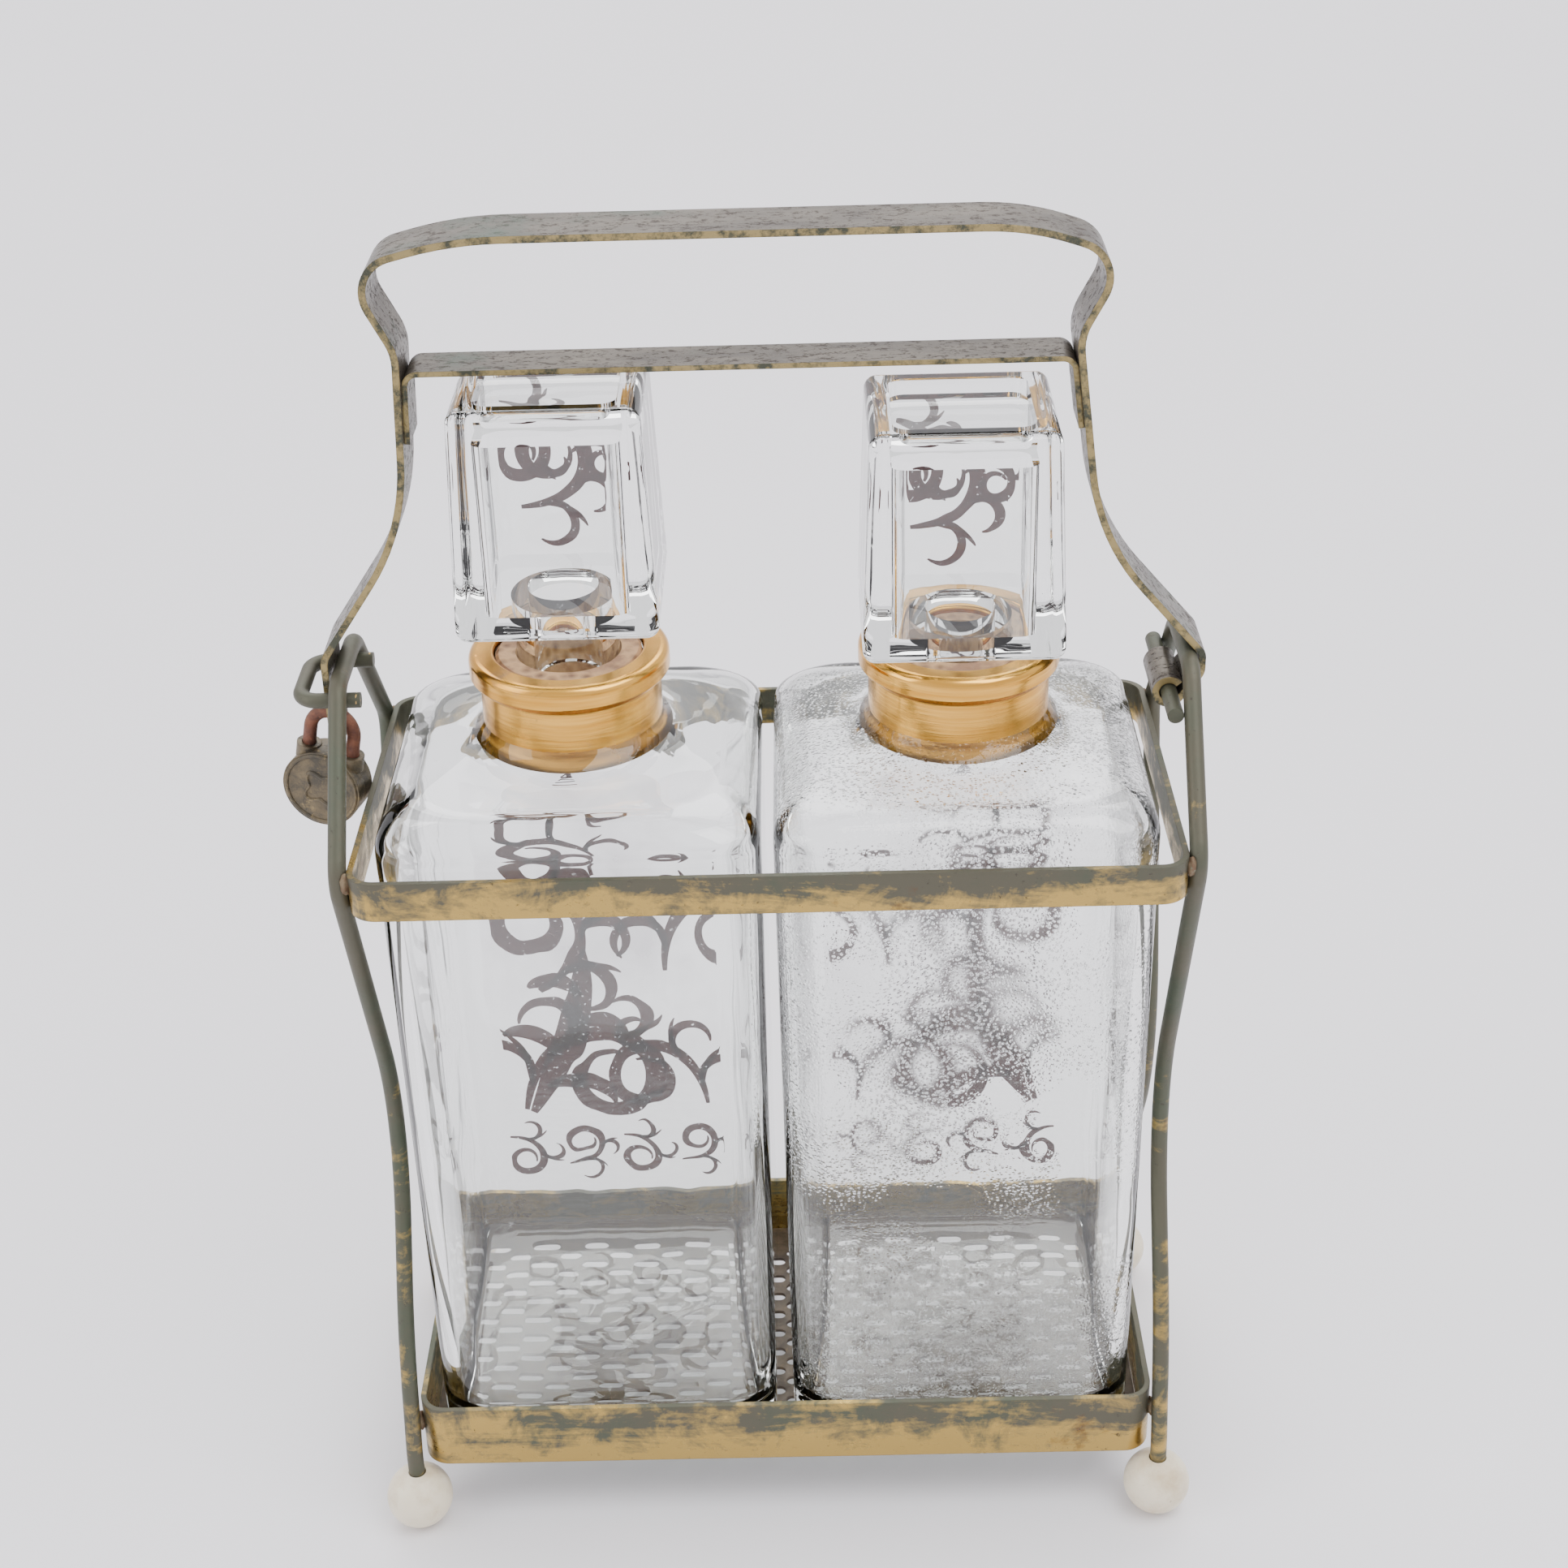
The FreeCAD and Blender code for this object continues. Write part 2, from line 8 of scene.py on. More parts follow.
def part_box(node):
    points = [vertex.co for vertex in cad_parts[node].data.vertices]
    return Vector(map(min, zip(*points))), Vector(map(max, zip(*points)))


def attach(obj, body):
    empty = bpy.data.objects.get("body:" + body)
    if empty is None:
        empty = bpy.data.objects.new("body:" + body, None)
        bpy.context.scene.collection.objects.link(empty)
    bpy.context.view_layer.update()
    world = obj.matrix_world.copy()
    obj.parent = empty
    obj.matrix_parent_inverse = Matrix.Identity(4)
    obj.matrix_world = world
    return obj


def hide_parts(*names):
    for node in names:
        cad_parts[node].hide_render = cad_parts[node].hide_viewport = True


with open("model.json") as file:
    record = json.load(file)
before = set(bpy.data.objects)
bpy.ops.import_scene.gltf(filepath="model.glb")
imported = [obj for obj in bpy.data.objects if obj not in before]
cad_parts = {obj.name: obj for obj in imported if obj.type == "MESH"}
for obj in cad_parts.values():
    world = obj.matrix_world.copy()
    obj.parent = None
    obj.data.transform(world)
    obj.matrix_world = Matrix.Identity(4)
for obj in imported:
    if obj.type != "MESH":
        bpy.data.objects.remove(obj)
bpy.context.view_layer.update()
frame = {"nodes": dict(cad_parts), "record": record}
nodes = frame["nodes"]
joints = {joint["name"]: joint for joint in frame["record"]["behaviour"]["joints"]}
MM = 0.001


# ---- material building ----

class Shader:
    """A Principled material and short ways to add texture nodes to it, in object coordinates."""

    def __init__(self, name):
        self.material = bpy.data.materials.new(name)
        self.material.use_nodes = True
        self.tree = self.material.node_tree
        self.surface = self.tree.nodes["Principled BSDF"]
        self.coordinates = self.add("ShaderNodeTexCoord").outputs["Object"]

    def add(self, kind, **settings):
        node = self.tree.nodes.new(kind)
        for key, value in settings.items():
            setattr(node, key, value)
        return node

    def feed(self, socket, value):
        if isinstance(value, bpy.types.NodeSocket):
            self.tree.links.new(value, socket)
        elif isinstance(value, tuple) and len(value) == 3 and socket.type == "RGBA":
            socket.default_value = (*value, 1.0)
        else:
            socket.default_value = value

    def set(self, **inputs):
        for name, value in inputs.items():
            self.feed(self.surface.inputs[name.replace("_", " ")], value)

    def stretched(self, x, y, z):
        node = self.add("ShaderNodeMapping")
        self.feed(node.inputs["Vector"], self.coordinates)
        node.inputs["Scale"].default_value = (x, y, z)
        return node.outputs["Vector"]

    def noise(self, scale, detail=6.0, roughness=0.6, distortion=0.0, where=None):
        node = self.add("ShaderNodeTexNoise")
        self.feed(node.inputs["Vector"], where or self.coordinates)
        node.inputs["Scale"].default_value = scale
        node.inputs["Detail"].default_value = detail
        node.inputs["Roughness"].default_value = roughness
        node.inputs["Distortion"].default_value = distortion
        return node.outputs["Fac"]

    def cells(self, scale, randomness=1.0):
        node = self.add("ShaderNodeTexVoronoi")
        self.feed(node.inputs["Vector"], self.coordinates)
        node.inputs["Scale"].default_value = scale
        node.inputs["Randomness"].default_value = randomness
        return node.outputs["Distance"]

    def band(self, value, low, high, to_low=0.0, to_high=1.0):
        node = self.add("ShaderNodeMapRange")
        self.feed(node.inputs["Value"], value)
        for name, number in (("From Min", low), ("From Max", high), ("To Min", to_low), ("To Max", to_high)):
            node.inputs[name].default_value = number
        return node.outputs["Result"]

    def math(self, operation, a, b):
        node = self.add("ShaderNodeMath", operation=operation)
        self.feed(node.inputs[0], a)
        self.feed(node.inputs[1], b)
        return node.outputs[0]

    def part(self, axis):
        node = self.add("ShaderNodeSeparateXYZ")
        self.feed(node.inputs[0], self.coordinates)
        return node.outputs[axis]

    def facing(self, axis):
        split = self.add("ShaderNodeSeparateXYZ")
        self.feed(split.inputs[0], self.add("ShaderNodeNewGeometry").outputs["Normal"])
        return self.math("ABSOLUTE", split.outputs[axis], 0.0)

    def mix(self, factor, a, b):
        node = self.add("ShaderNodeMix", data_type="RGBA")
        self.feed(node.inputs[0], factor)
        self.feed(node.inputs[6], a)
        self.feed(node.inputs[7], b)
        return node.outputs[2]

    def relief(self, height, strength, distance, round_edges=0.0):
        node = self.add("ShaderNodeBump")
        self.feed(node.inputs["Height"], height)
        node.inputs["Strength"].default_value = strength
        node.inputs["Distance"].default_value = distance
        if round_edges:
            soft = self.add("ShaderNodeBevel", samples=2)
            soft.inputs["Radius"].default_value = round_edges
            self.feed(node.inputs["Normal"], soft.outputs["Normal"])
        self.feed(self.surface.inputs["Normal"], node.outputs["Normal"])


GOLD = (0.42, 0.285, 0.085)
GREY = (0.082, 0.076, 0.052)
GREEN = (0.055, 0.072, 0.048)
RUST = (0.11, 0.042, 0.016)
DARK = (0.045, 0.038, 0.028)


def plated(name, low, high, worn, green=0.35):
    """Brass plating that is bright low on the piece and tarnished grey-green towards its top."""
    s = Shader(name)
    rise = s.band(s.part("Z"), low, high, 0.0, 0.30)
    streaks = s.noise(70, 8, 0.7, 0.6, s.stretched(0.16, 0.16, 1.0))
    patches = s.noise(75, 10, 0.72, 0.5)
    spread = s.math("ADD", rise, s.math("MULTIPLY", streaks, 1.5))
    spread = s.math("ADD", spread, s.math("MULTIPLY", patches, 1.3))
    tarnish = s.band(spread, worn - 0.04, worn + 0.20)
    verdigris = s.band(s.noise(24, 6, 0.7), 0.60 - green * 0.3, 0.72)
    colour = s.mix(tarnish, GOLD, s.mix(verdigris, GREY, GREEN))
    colour = s.mix(s.band(s.noise(17, 9, 0.75), 0.62, 0.74), colour, RUST)
    pits = s.band(s.noise(420, 4, 0.8), 0.63, 0.72)
    colour = s.mix(pits, colour, DARK)
    s.set(Base_Color=colour, Metallic=s.band(tarnish, 0, 1, 0.95, 0.45),
          Roughness=s.band(tarnish, 0, 1, 0.26, 0.52))
    s.relief(s.math("ADD", s.noise(300, 5, 0.7), s.math("MULTIPLY", pits, -1.5)), 0.35, 0.0003, 0.0005)
    return s.material


def worn_strip(name):
    """Strip rubbed grey-brown and pitted on its broad faces, still brassy along its edges."""
    s = Shader(name)
    edge = s.band(s.facing("Y"), 0.6, 0.9)
    rubbed = s.band(s.noise(90, 8, 0.7, 0.5, s.stretched(0.3, 1.0, 1.0)), 0.38, 0.62)
    broad = s.mix(rubbed, (0.062, 0.050, 0.038), (0.135, 0.115, 0.088))
    pits = s.band(s.noise(520, 4, 0.85, 0, s.stretched(0.55, 1.0, 1.0)), 0.53, 0.60)
    broad = s.mix(s.math("MULTIPLY", pits, 0.85), broad, (0.035, 0.024, 0.02))
    broad = s.mix(s.band(s.noise(21, 6, 0.7), 0.55, 0.66), broad, (0.06, 0.078, 0.055))
    brassy = s.mix(s.band(s.noise(130, 8, 0.75), 0.46, 0.58), (0.30, 0.23, 0.10), (0.055, 0.058, 0.04))
    s.set(Base_Color=s.mix(edge, broad, brassy), Metallic=0.62, Roughness=s.band(pits, 0, 1, 0.34, 0.62))
    s.relief(s.math("SUBTRACT", s.noise(260, 6, 0.7), s.math("MULTIPLY", pits, 1.2)), 0.4, 0.0003, 0.0005)
    return s.material


def gilt(name):
    """Shiny gilt brass with fine turning lines, scratches and rubbed brown patches."""
    s = Shader(name)
    lines = s.noise(900, 3, 0.6, 0, s.stretched(0.04, 0.04, 1.0))
    scratches = s.band(s.noise(240, 8, 0.8, 1.6, s.stretched(1.0, 1.0, 0.3)), 0.62, 0.68)
    worn = s.band(s.noise(52, 7, 0.7, 0.5), 0.60, 0.72)
    colour = s.mix(s.band(lines, 0.35, 0.65), (0.60, 0.29, 0.045), (0.76, 0.42, 0.085))
    colour = s.mix(s.math("MULTIPLY", scratches, 0.6), colour, (0.30, 0.17, 0.07))
    colour = s.mix(s.math("MULTIPLY", worn, 0.55), colour, (0.33, 0.22, 0.18))
    s.set(Base_Color=colour, Metallic=1.0, Roughness=s.band(s.noise(30, 6, 0.6), 0.3, 0.7, 0.13, 0.33))
    s.relief(s.math("ADD", s.math("MULTIPLY", lines, 0.4), s.noise(45, 3, 0.5)), 0.25, 0.0006)
    return s.material


def glass(name, wave=0.5, fog=0.0):
    """Pressed glass: faintly green, slightly wavy, see-through to shadow rays so what is inside stays lit."""
    s = Shader(name)
    s.set(Base_Color=s.mix(s.noise(12, 2, 0.5), (0.965, 0.985, 0.975), (0.99, 0.995, 0.992)), IOR=1.5,
          Transmission_Weight=1.0)
    swirl = s.noise(26, 2, 0.5, 0.8, s.stretched(1.0, 1.0, 0.45))
    if fog:
        drops = s.band(s.cells(900), 0.12, 0.40, 1.0, 0.0)
        wet = s.math("MULTIPLY", s.band(s.noise(14, 5, 0.6), 0.42, 0.60), s.band(s.part("Z"), 0.03, 0.06))
        swirl = s.math("ADD", swirl, s.math("MULTIPLY", s.math("MULTIPLY", drops, wet), fog))
        s.set(Roughness=s.band(wet, 0, 1, 0.0, 0.13))
    else:
        s.set(Roughness=s.band(s.noise(60, 3, 0.5), 0.4, 0.7, 0.0, 0.02))
    s.relief(swirl, wave, 0.0012)
    clear = s.add("ShaderNodeBsdfTransparent")
    clear.inputs["Color"].default_value = (0.93, 0.95, 0.94, 1.0)
    blend = s.add("ShaderNodeMixShader")
    s.feed(blend.inputs["Fac"], s.add("ShaderNodeLightPath").outputs["Is Shadow Ray"])
    s.tree.links.new(s.surface.outputs[0], blend.inputs[1])
    s.tree.links.new(clear.outputs[0], blend.inputs[2])
    s.tree.links.new(blend.outputs[0], s.tree.nodes["Material Output"].inputs["Surface"])
    return s.material


def cork(name):
    s = Shader(name)
    grains = s.band(s.cells(300), 0.1, 0.6)
    colour = s.mix(grains, (0.13, 0.06, 0.03), (0.42, 0.24, 0.12))
    stains = s.band(s.noise(90, 6, 0.7), 0.5, 0.65)
    s.set(Base_Color=s.mix(stains, colour, (0.22, 0.11, 0.06)), Roughness=0.75)
    s.relief(s.math("ADD", grains, s.noise(500, 4, 0.7)), 0.6, 0.0005)
    return s.material


def ivory(name):
    s = Shader(name)
    colour = s.mix(s.band(s.noise(80, 8, 0.65), 0.45, 0.7), (0.76, 0.68, 0.52), (0.58, 0.46, 0.30))
    specks = s.band(s.noise(240, 5, 0.8), 0.66, 0.72)
    s.set(Base_Color=s.mix(specks, colour, (0.45, 0.34, 0.22)), Roughness=0.3,
          Subsurface_Weight=0.15, Subsurface_Radius=(0.004, 0.003, 0.002))
    s.relief(s.noise(140, 5, 0.6), 0.25, 0.0004)
    return s.material


def aged(name, light, dark, spot, metallic, rough):
    """Worn metal in patches of two colours with spots of a third."""
    s = Shader(name)
    colour = s.mix(s.band(s.noise(160, 8, 0.7, 0.4), 0.4, 0.6), light, dark)
    colour = s.mix(s.band(s.noise(380, 6, 0.8), 0.58, 0.66), colour, spot)
    s.set(Base_Color=colour, Metallic=metallic,
          Roughness=s.band(s.noise(200, 5, 0.7), 0.3, 0.7, rough - 0.12, rough + 0.14))
    s.relief(s.noise(520, 6, 0.75), 0.55, 0.0003, 0.0004)
    return s.material


def print_ink(name):
    """Brown-mauve transfer print, slightly broken up."""
    s = Shader(name)
    colour = s.mix(s.noise(45, 5, 0.6), (0.050, 0.010, 0.007), (0.10, 0.028, 0.028))
    s.set(Base_Color=colour, Roughness=0.6, Specular_IOR_Level=0.1,
          Alpha=s.band(s.noise(900, 3, 0.7), 0.28, 0.36))
    s.relief(s.noise(800, 3, 0.6), 0.2, 0.0002)
    return s.material


ring_low, ring_high = (corner.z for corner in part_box("upper_ring"))
tray_low, tray_high = (corner.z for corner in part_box("tray_band"))
ring_metal = plated("ring_plating", ring_low, ring_high, 1.42)
tray_metal = plated("tray_plating", tray_low, tray_high, 1.50)
wire_metal = plated("wire_plating", 0.05, 0.16, 1.25, 0.6)
floor_metal = aged("floor_plating", (0.085, 0.060, 0.042), (0.045, 0.030, 0.022), (0.15, 0.10, 0.05),
                   0.3, 0.5)
dull_metal = plated("dull_plating", 0.15, 0.24, 1.15, 0.8)
strip_metal = worn_strip("handle_strip")
gilt_metal = gilt("collar_gilt")
left_glass = glass("glass_dry")
right_glass = glass("glass_misted", 0.45, 0.28)
stopper_glass = glass("glass_stopper", 0.35)
lock_metal = aged("padlock_brass", (0.16, 0.125, 0.075), (0.07, 0.062, 0.048), (0.24, 0.18, 0.09), 0.75, 0.42)
rusty = aged("shackle_rust", (0.20, 0.075, 0.04), (0.085, 0.035, 0.025), (0.30, 0.13, 0.06), 0.35, 0.6)
ink = print_ink("scroll_print")
cork_stuff = cork("cork")
ball_stuff = ivory("ivory_ball")
cut_brass = aged("cut_brass", (0.62, 0.42, 0.16), (0.35, 0.22, 0.09), (0.15, 0.07, 0.03), 0.9, 0.35)
weld_stuff = aged("weld_rust", (0.20, 0.15, 0.09), (0.11, 0.055, 0.03), (0.17, 0.20, 0.14), 0.5, 0.6)

looks = {
    "upper_ring": ring_metal, "tray_band": tray_metal, "tray_grid": floor_metal,
    "left_wire_frame": wire_metal, "right_wire_frame": wire_metal, "lock_staple": dull_metal,
    "hinge_pin": dull_metal, "carry_handle": strip_metal, "lock_bar": strip_metal,
    "decanter_left": left_glass, "decanter_right": right_glass,
    "stopper_left": stopper_glass, "stopper_right": stopper_glass,
    "neck_collar_left": gilt_metal, "neck_collar_right": gilt_metal,
    "cork_ring_left": cork_stuff, "cork_ring_right": cork_stuff,
    "padlock_case_front": lock_metal, "padlock_case_back": lock_metal, "padlock_catch": lock_metal,
    "padlock_spring": rusty, "padlock_shackle": rusty,
}
for name, node in nodes.items():  # the four ball feet aren't in the table above
    node.data.materials[0] = looks.get(name, ball_stuff)


# ---- extra pieces ----

def piece(name, verts, faces, material, body, smooth=True):
    mesh = bpy.data.meshes.new(name)
    mesh.from_pydata([tuple(v) for v in verts], [], faces)
    mesh.materials.append(material)
    if smooth:
        mesh.shade_smooth()
    mesh.update()
    made = bpy.data.objects.new(name, mesh)
    bpy.context.scene.collection.objects.link(made)
    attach(made, body)
    return made


def rounded_square(half, corner, count=16):
    """Points round a square with rounded corners, the same number for any corner radius."""
    points = []
    for quarter in range(4):
        turn_by = Matrix.Rotation(quarter * math.pi / 2, 2)
        for i in range(count + 1):
            a = math.pi / 2 * i / count
            x = half - corner + corner * math.cos(a)
            y = half - corner + corner * math.sin(a)
            points.append(turn_by @ Vector((x, y)))
        for i in range(1, 5):
            points.append(turn_by @ Vector((half - corner - (half - corner) * i / 2.5, half)))
    return points


def loft(name, centre, shells, material, body):
    """One closed solid: an outer shell and, turned inside out, an inner one.
    A section is (height, half width, corner radius, depth over width)."""
    verts, faces = [], []
    for shell, sections in enumerate(shells):
        rings = []
        for z, half, corner, stretch in sections:
            rings.append(len(verts))
            for p in rounded_square(half, corner):
                verts.append((centre.x + p.x * MM, centre.y + p.y * stretch * MM, z * MM))
        n = len(verts) - rings[-1]
        for low, high in zip(rings, rings[1:]):
            for i in range(n):
                k = (i + 1) % n
                face = (low + i, low + k, high + k, high + i)
                faces.append(face if shell == 0 else (face[0], face[3], face[2], face[1]))
        first, last = rings[0], rings[-1]
        if shell == 0:
            faces.append(tuple(first + i for i in reversed(range(n))))
            outer_end = last
        else:
            faces.append(tuple(first + i for i in range(n)))
            for i in range(n):
                k = (i + 1) % n
                faces.append((outer_end + i, outer_end + k, last + k, last + i))
    return piece(name, verts, faces, material, body)


def bottle_shells(low, high):
    """Walls, thick base, rounded shoulder and neck of a decanter; sizes in millimetres from its CAD box."""
    foot, top = low.z / MM, high.z / MM
    half = (high.x - low.x) / 2 / MM
    shoulder = top - 33.5
    hollow_top = top - 21.5
    neck, bore, wall, rise = 20.3, 18.3, 3.9, 9.6
    deep = (high.y - low.y) / (high.x - low.x)
    outer = [(foot, half - 5.2, 8, deep), (foot + 0.5, half - 3.4, 9, deep),
             (foot + 1.6, half - 2.0, 10, deep),
             (foot + 3.6, half - 1.2, 10.5, deep), (foot + 7, half - 0.9, 11, deep)]
    for i in range(12):
        t = i / 11
        outer.append((foot + 8 + (shoulder - foot - 8) * t, half - 0.9 + 0.85 * t, 11, deep))
    for i in range(1, 13):
        a = math.pi / 2 * i / 12
        outer.append((shoulder + rise * math.sin(a) ** 0.95, half - 0.05 - 9.5 * (1 - math.cos(a)),
                      11 + 5 * math.sin(a) ** 2, deep + (1 - deep) * 0.3 * i / 12))
    knee = outer[-1]
    for i in range(1, 17):
        t = i / 16
        now = knee[1] + (neck + 1.4 - knee[1]) * t
        corner = knee[2] + (now - knee[2]) * t ** 0.8
        outer.append((knee[0] + 3.9 * t + 5.2 * t ** 5, now, min(now, corner), knee[3] + (1 - knee[3]) * t))
    dome = outer[-1][0]
    outer += [(dome + 1.5, neck + 0.3, neck + 0.3, 1.0), (dome + 2.6, neck, neck, 1.0),
              (top - 0.6, neck, neck, 1.0), (top - 0.1, neck - 0.5, neck - 0.5, 1.0)]
    inner = [(foot + 10.6, half - 16, 9, deep), (foot + 9.8, half - 9.5, 8, deep),
             (foot + 10.4, half - 6.4, 7.5, deep),
             (foot + 12.5, half - wall - 1.2, 7.5, deep)]
    for z, wide, corner, stretch in outer[5:]:
        if z < hollow_top:
            sunk = 0 if z < shoulder else wall * (z - shoulder) / 13
            inner.append((max(z, foot + 16) - sunk, wide - wall, max(corner - wall + 0.8, 5), stretch))
    seen, rising = -1.0, []
    for section in inner[4:]:
        if section[0] > seen + 0.05 and section[1] > bore + 1.5:
            rising.append(section)
            seen = section[0]
    inner = inner[:4] + rising + [(seen + 1.6, bore + 1.0, bore + 1.0, 1.0), (seen + 3.6, bore, bore, 1.0),
                                  (top - 0.6, bore, bore, 1.0), (top - 0.1, bore + 0.5, bore + 0.5, 1.0)]
    return outer, inner


class Ribbons:
    """Flat curling strokes in a plane, gathered into one mesh. Lengths in millimetres."""

    def __init__(self):
        self.verts, self.faces = [], []

    def curl(self, x, z, heading, length, turn, width, steps=22, power=1.35):
        """One stroke that swells and tapers; returns the points along it with their headings."""
        trail = []
        start = len(self.verts)
        for i in range(steps + 1):
            t = i / steps
            aim = heading + turn * t ** power
            trail.append((x, z, aim))
            half = width / 2 * math.sin(math.pi * (0.06 + 0.9 * t)) ** 0.8
            self.verts.append((x - math.sin(aim) * half, z + math.cos(aim) * half))
            self.verts.append((x + math.sin(aim) * half, z - math.cos(aim) * half))
            x += math.cos(aim) * length / steps
            z += math.sin(aim) * length / steps
        for i in range(steps):
            a = start + 2 * i
            self.faces.append((a, a + 1, a + 3, a + 2))
        return trail

    def scroll(self, x, z, heading, length, way, width, leaves=(4, 12, 20)):
        """A stroke that winds up into a spiral, with leaves along its outside."""
        trail = self.curl(x, z, heading, length, way * 8.2, width, 56, 1.55)
        for n, t in enumerate(leaves):
            px, pz, aim = trail[t]
            self.curl(px, pz, aim, length * (0.34 - 0.05 * n), -way * 4.2, width * 0.62, 22, 1.1)
            self.curl(px, pz, aim - way * 0.25, length * (0.20 - 0.03 * n), -way * 1.2, width * 0.40)

    def frond(self, x, z, heading, length, turn, width, depth):
        """A stroke with smaller ones curling off both sides."""
        trail = self.curl(x, z, heading, length, turn, width)
        if depth:
            for n, t in enumerate((4, 8, 12, 16)):
                px, pz, aim = trail[t]
                side = 1 if n % 2 else -1
                if turn < 0:
                    side = -side
                self.frond(px, pz, aim + side * 0.75, length * (0.40 - 0.04 * n), side * 1.9,
                           width * 0.62, depth - 1)


def bottle_print(side):
    """Acanthus scrolls: a frieze low down and tall winding sprays above it."""
    r = Ribbons()
    ahead = 0.0 if side > 0 else math.pi
    up = math.pi / 2
    for n in range(4):
        flip = 1 if n % 2 else -1
        r.scroll(side * (-33 + 17 * n), 55 - flip * 5, ahead + side * flip * 0.1, 40, flip * side,
                 2.3, (6, 16))
    r.scroll(-27 * side, 70, up - side * 0.2, 118, -side, 5.6)
    r.scroll(26 * side, 71, up + side * 0.1, 86, side, 4.6)
    r.scroll(-20 * side, 112, up - side * 0.9, 96, side, 6.4)
    r.scroll(16 * side, 118, up, 92, -side, 5.0)
    r.scroll(-2 * side, 150, up + side * 0.3, 74, side, 4.2)
    r.frond(-25 * side, 69, up - side * 0.5, 60, side * 0.5, 8.5, 1)
    return r


def stopper_print():
    r = Ribbons()
    r.scroll(-11, 262, 0.1, 68, 1, 4.0)
    r.scroll(-15, 287, -0.25, 50, -1, 3.4)
    r.scroll(2, 276, 0.6, 36, -1, 2.8)
    return r


def haze(name):
    """Faint lilac film left on the back of the glass round the print."""
    s = Shader(name)
    patch = s.math("MULTIPLY", s.band(s.noise(16, 5, 0.6, 0.6), 0.44, 0.66), s.band(s.part("Z"), 0.07, 0.12))
    s.set(Base_Color=s.mix(s.noise(40, 3, 0.5), (0.66, 0.50, 0.66), (0.80, 0.62, 0.74)), Roughness=0.4,
          Alpha=s.math("MULTIPLY", patch, 0.42))
    s.relief(s.noise(60, 3, 0.5), 0.1, 0.0003)
    return s.material


def on_face(ribbons, centre_x, face_y, limit):
    """The strokes' points on the plane y = face_y, kept within limit of the middle, in metres."""
    verts = []
    for x, z in ribbons.verts:
        x = max(-limit, min(limit, x))
        verts.append((centre_x + x * MM, face_y, z * MM))
    return verts


# the stopper's glass block, seated: its height, the height of its foot, and how much each side leans in
STOPPER_TALL = 0.0564
STOPPER_FOOT = 0.2462
STOPPER_TAPER = 0.0372
# the film on each decanter's back
HAZE_WIDE = 0.072
HAZE_FOOT = 0.062
HAZE_TALL = 0.122
lilac = haze("lilac_haze")
for hand, side in (("left", 1), ("right", -1)):
    low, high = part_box(f"decanter_{hand}")
    middle = (low.x + high.x) / 2
    art = bottle_print(side)
    back = high.y + 0.00005
    centre = Vector((middle, 0, 0))
    bottle = loft(f"bottle_{hand}", centre, bottle_shells(low, high), left_glass if side > 0 else right_glass,
                  f"decanter_{hand}")
    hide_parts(f"decanter_{hand}")
    piece(f"print_bottle_{hand}", on_face(art, middle, back, 33), art.faces, ink,
          f"decanter_{hand}", False)
    verts, faces, across_n, tall_n = [], [], 12, 20
    for j in range(tall_n + 1):
        for i in range(across_n + 1):
            verts.append((middle + (i / across_n - 0.5) * HAZE_WIDE, back + 0.0001,
                          HAZE_FOOT + HAZE_TALL * j / tall_n))
    for j in range(tall_n):
        for i in range(across_n):
            k = j * (across_n + 1) + i
            faces.append((k, k + across_n + 1, k + across_n + 2, k + 1))
    piece(f"haze_bottle_{hand}", verts, faces, lilac, f"decanter_{hand}")
    low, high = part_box(f"stopper_{hand}")
    half = (high.x - low.x) / 2
    rise = high.z - STOPPER_TALL - STOPPER_FOOT
    art = stopper_print()
    verts = [(x, half - (z - STOPPER_FOOT) * STOPPER_TAPER + 0.0001, z + rise)
             for x, y, z in on_face(art, middle, 0, 17)]
    piece(f"print_stopper_{hand}", verts, art.faces, ink, f"stopper_{hand}", False)


def blob(name, centre, radii, seed, material):
    """A small lumpy bead on the stand, as a weld leaves."""
    shape = bmesh.new()
    bmesh.ops.create_icosphere(shape, subdivisions=3, radius=1.0)
    verts = []
    for v in shape.verts:
        swell = 1 + 0.28 * noise.noise(v.co * 1.7 + Vector((seed * 3.1, seed, 0)))
        verts.append([centre[k] + v.co[k] * radii[k] * swell * MM for k in range(3)])
    faces = [[v.index for v in f.verts] for f in shape.faces]
    shape.free()
    return piece(name, verts, faces, material, "stand")


# the wires' welds and the staple's arms: how far from the middle, front and back alike, and how high
WELD_Y = 0.0432
RING_WELD_Z = 0.2015
TRAY_WELD_Z = 0.0305
STAPLE_ARM_Y = 0.0109
STAPLE_ARM_Z = 0.2342
for hand, side in (("left", -1), ("right", 1)):
    low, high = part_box("upper_ring")
    ring_x = (low.x if side < 0 else high.x) + side * 0.0003
    low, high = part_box("tray_band")
    tray_x = (low.x if side < 0 else high.x) + side * 0.0003
    for end, depth in (("front", -1), ("back", 1)):
        blob(f"weld_ring_{hand}_{end}", (ring_x, depth * WELD_Y, RING_WELD_Z), (1.3, 2.0, 2.6),
             side + depth * 2, weld_stuff)
        blob(f"weld_tray_{hand}_{end}", (tray_x, depth * WELD_Y, TRAY_WELD_Z), (1.2, 1.9, 3.0),
             side * 3 + depth, weld_stuff)
low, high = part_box("lock_staple")
for end, depth in (("front", -1), ("back", 1)):
    blob(f"staple_end_{end}", (high.x - 0.0009, depth * STAPLE_ARM_Y, STAPLE_ARM_Z),
         (0.85, 1.75, 1.75), depth + 7, cut_brass)

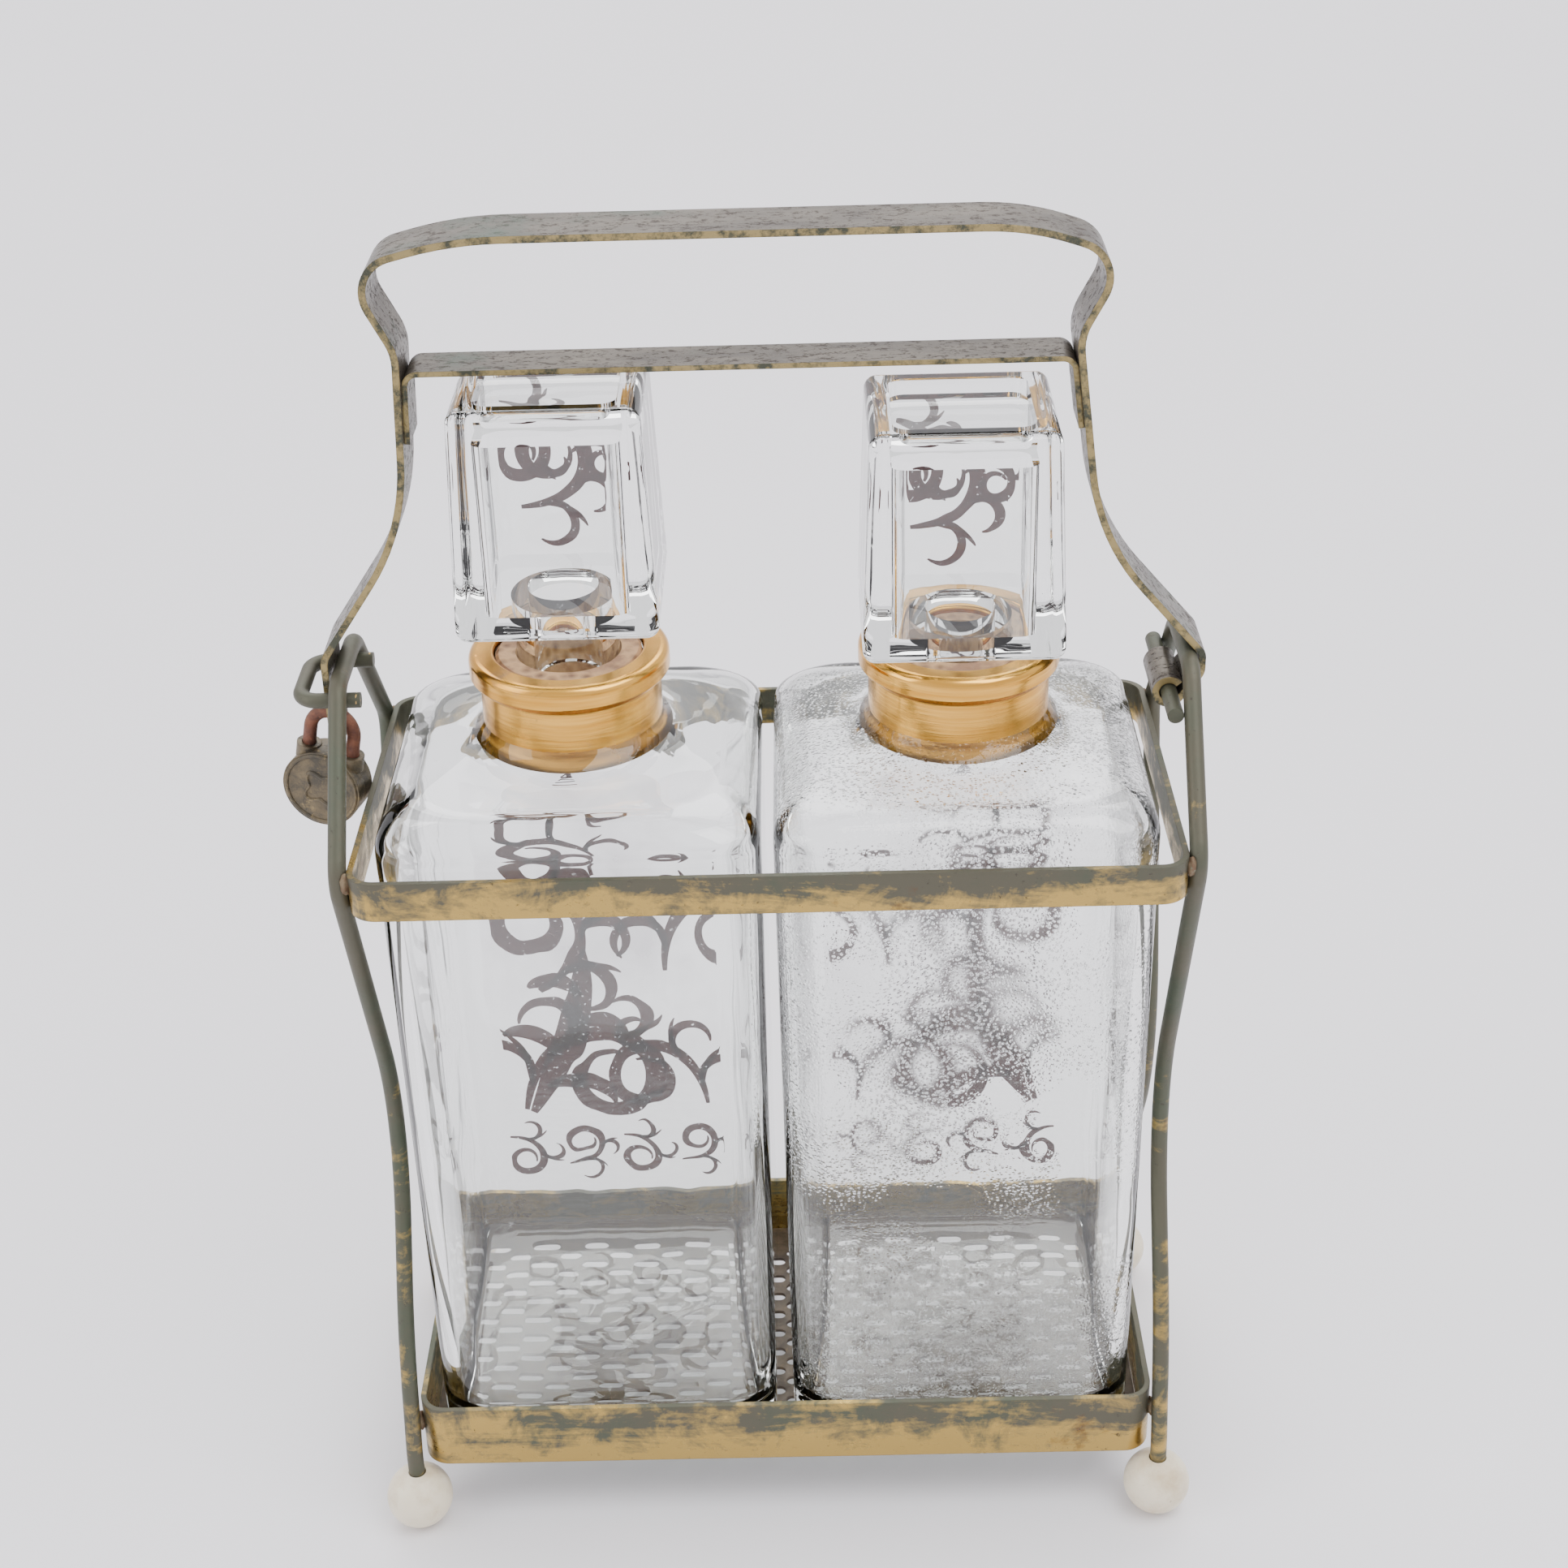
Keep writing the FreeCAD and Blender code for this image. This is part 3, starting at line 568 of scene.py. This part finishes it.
# padlock dress: a rim bead on each shell and a plain raised mark, in the padlock's own frame
origin = Vector(joints["padlock_take_off"]["pos_m"])
up = Vector(joints["shackle_lift"]["axis"])
across = Vector((0, 0, 1)).cross(-Vector(joints["padlock_take_off"]["axis"]))
turn = Matrix((across.cross(up), across, up)).transposed()
CASE_DROP = 15.0    # from the take-off joint's point down to the middle of the case, in millimetres
CASE_FACE = 4.0     # from the middle of the case to either face
RIM_RADIUS = 9.35
RIM_BEAD = 0.55
MARK_REACH = 5.6
MARK_HEIGHT = 0.4


def lock_point(x, y, z):
    return origin + turn @ (Vector((x, y, z - CASE_DROP)) * MM)


for face, depth in (("front", -1), ("back", 1)):
    verts, faces, around, across_n = [], [], 72, 10
    for i in range(around):
        a = 2 * math.pi * i / around
        for j in range(across_n):
            b = 2 * math.pi * j / across_n
            radius = RIM_RADIUS + RIM_BEAD * math.cos(b)
            proud = depth * (CASE_FACE + 0.4 * math.sin(b))
            verts.append(lock_point(radius * math.cos(a), proud, radius * math.sin(a)))
    for i in range(around):
        for j in range(across_n):
            k, m = (i + 1) % around, (j + 1) % across_n
            faces.append((i * across_n + j, k * across_n + j, k * across_n + m, i * across_n + m))
    piece(f"padlock_rim_{face}", verts, faces, lock_metal, "padlock_case")
verts, faces, count = [], [], 96
for i in range(count):
    a = 2 * math.pi * i / count
    reach = MARK_REACH * (1 - 0.34 * math.sin(2 * a) ** 2)
    raised = CASE_FACE + MARK_HEIGHT
    for radius, height in ((reach, CASE_FACE), (reach - 0.15, raised), (reach - 0.85, raised),
                           (reach - 1.0, CASE_FACE)):
        verts.append(lock_point(radius * math.cos(a + 0.78), -height, radius * math.sin(a + 0.78)))
    for j in range(3):
        k = (i + 1) % count
        faces.append((i * 4 + j, k * 4 + j, k * 4 + j + 1, i * 4 + j + 1))
piece("padlock_mark", verts, faces, lock_metal, "padlock_case")

# ---- stage, light and camera ----

floor_shader = Shader("paper_floor")
paper = floor_shader.mix(floor_shader.noise(3, 3, 0.5), (0.80, 0.785, 0.815), (0.825, 0.81, 0.84))
floor_shader.set(Base_Color=paper, Roughness=0.9)
floor_mesh = bpy.data.meshes.new("floor")
corners, sweep = [], 24
for i in range(sweep + 1):
    for side in (-6.0, 6.0):
        corners.append((side, -4.0 + 12.0 * i / sweep, 0.0))
floor_mesh.from_pydata(corners, [], [(2 * i, 2 * i + 1, 2 * i + 3, 2 * i + 2) for i in range(sweep)])
floor_mesh.materials.append(floor_shader.material)
floor = bpy.data.objects.new("floor", floor_mesh)
bpy.context.scene.collection.objects.link(floor)

world = bpy.data.worlds.new("studio")
bpy.context.scene.world = world
world.use_nodes = True
world.node_tree.nodes["Background"].inputs["Color"].default_value = (0.93, 0.92, 0.95, 1)
world.node_tree.nodes["Background"].inputs["Strength"].default_value = 1.45


def softbox(name, place, aim, width, height, watts):
    lamp = bpy.data.lights.new(name, "AREA")
    lamp.shape = "RECTANGLE"
    lamp.size, lamp.size_y = width, height
    lamp.energy = watts
    holder = bpy.data.objects.new(name, lamp)
    holder.location = place
    holder.rotation_euler = (Vector(aim) - Vector(place)).to_track_quat("-Z", "Y").to_euler()
    bpy.context.scene.collection.objects.link(holder)


softbox("key", (0.55, -0.35, 1.25), (0, 0, 0.12), 0.9, 0.9, 13)
softbox("left_fill", (-1.15, -0.45, 0.75), (0, 0, 0.15), 0.7, 1.0, 7)
softbox("back_top", (-0.1, 2.2, 2.4), (0, 1.0, 0.0), 3.5, 1.6, 75)

# the camera, fitted to the stand as the photograph shows it
pitch, heading, roll = math.radians(29.51), math.radians(-0.76), math.radians(-1.68)
level = Vector((math.sin(heading), math.cos(heading), 0))
right = Vector((math.cos(heading), -math.sin(heading), 0))
forward = level * math.cos(pitch) - Vector((0, 0, 1)) * math.sin(pitch)
upright = Vector((0, 0, 1)) * math.cos(pitch) + level * math.sin(pitch)
right, upright = (right * math.cos(roll) + upright * math.sin(roll),
                  upright * math.cos(roll) - right * math.sin(roll))
camera = bpy.data.objects.new("camera", bpy.data.cameras.new("camera"))
camera.data.lens = 56.93
camera.data.sensor_width = 36.0
turned = Matrix((right, upright, -forward)).transposed().to_4x4()
camera.matrix_world = Matrix.Translation((0.01754, -0.54409, 0.50991)) @ turned
bpy.context.scene.collection.objects.link(camera)
bpy.context.scene.camera = camera
